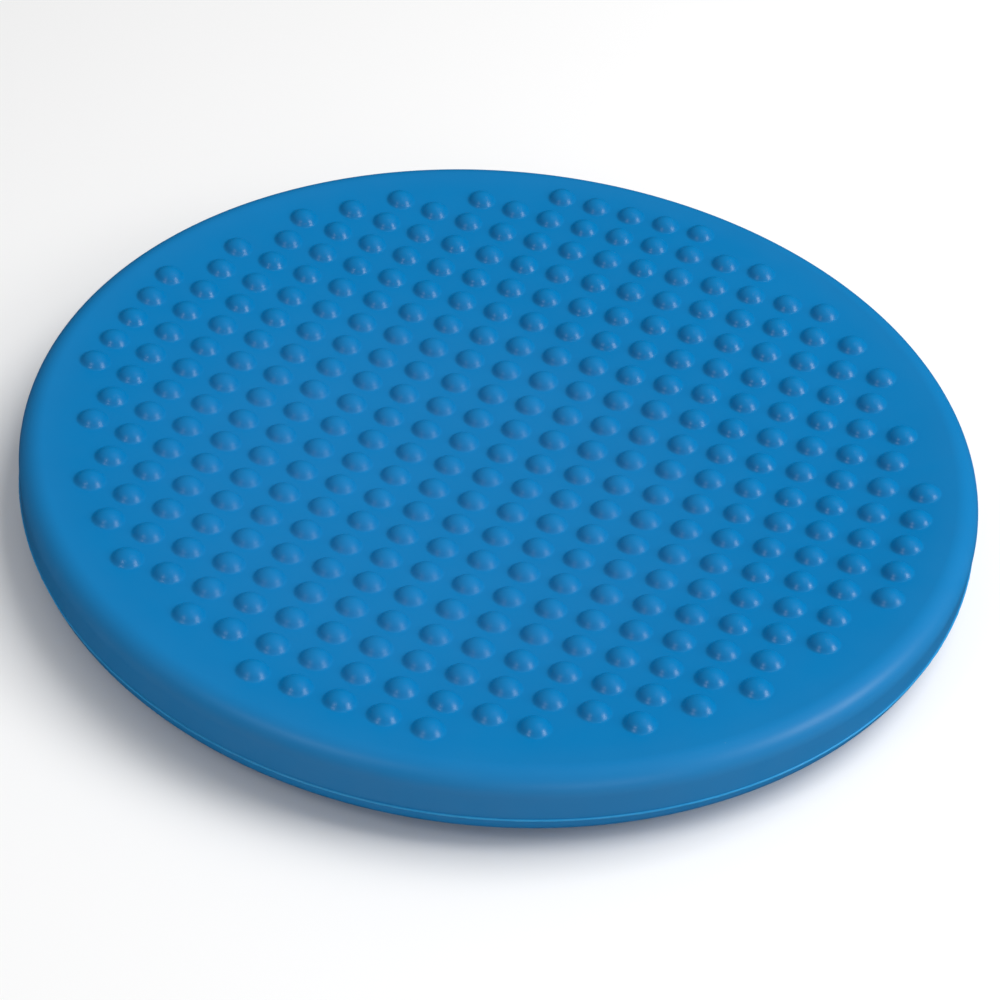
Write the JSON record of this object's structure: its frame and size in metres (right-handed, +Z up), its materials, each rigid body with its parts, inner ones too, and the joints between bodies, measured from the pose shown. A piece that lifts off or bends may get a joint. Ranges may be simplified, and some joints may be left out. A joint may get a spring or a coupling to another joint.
{
  "type": "wobble cushion",
  "caption": "Low round air cushion for balance training: dished top with a square grid of domed massage studs, welded rim, and a push-in air valve recessed in the flat underside.",
  "frame": {"origin": "middle of the flat underside, on the floor plane", "axes": "+Z up out of the dished seat; the rows of studs run along X and Y; the air valve in the underside is towards +Y"},
  "size_m": [0.39, 0.39, 0.0367],
  "materials": {
    "skin_vinyl": "soft blue PVC, moulded, satin gloss with a very fine grain",
    "weld_vinyl": "trimmed weld flash of the same soft blue PVC",
    "valve_vinyl": "soft darker blue PVC, moulded, satin",
    "stopper_plastic": "semi-rigid dark blue plastic, moulded, matt"
  },
  "bodies": {
    "base": {"lower_skin": "skin_vinyl", "valve_body": "valve_vinyl"},
    "rim": {"rim_weld": "weld_vinyl"},
    "seat": {"upper_skin": "skin_vinyl"},
    "check_flap": {"check_flap": "valve_vinyl"},
    "stopper": {"stopper": "stopper_plastic"}
  },
  "joints": [
    {"name": "rock_fore_aft", "type": "hinge", "parent": "base", "child": "rim", "pos_m": [0, 0, 0.0166], "axis": [1, 0, 0], "range_deg": [-4, 4], "stiffness_Nm_per_rad": 300, "deforming": ["lower_skin"]},
    {"name": "rock_side_to_side", "type": "hinge", "parent": "rim", "child": "seat", "pos_m": [0, 0, 0.0166], "axis": [0, 1, 0], "range_deg": [-4, 4], "stiffness_Nm_per_rad": 300, "deforming": ["upper_skin"]},
    {"name": "flap_lift", "type": "hinge", "parent": "base", "child": "check_flap", "pos_m": [0, 0.1137, 0.0108], "axis": [1, 0, 0], "range_deg": [0, 20], "stiffness_Nm_per_rad": 0.0005},
    {"name": "stopper_pull", "type": "slide", "parent": "base", "child": "stopper", "axis": [0, 0, -1], "range_m": [0, 0.009]}
  ]
}
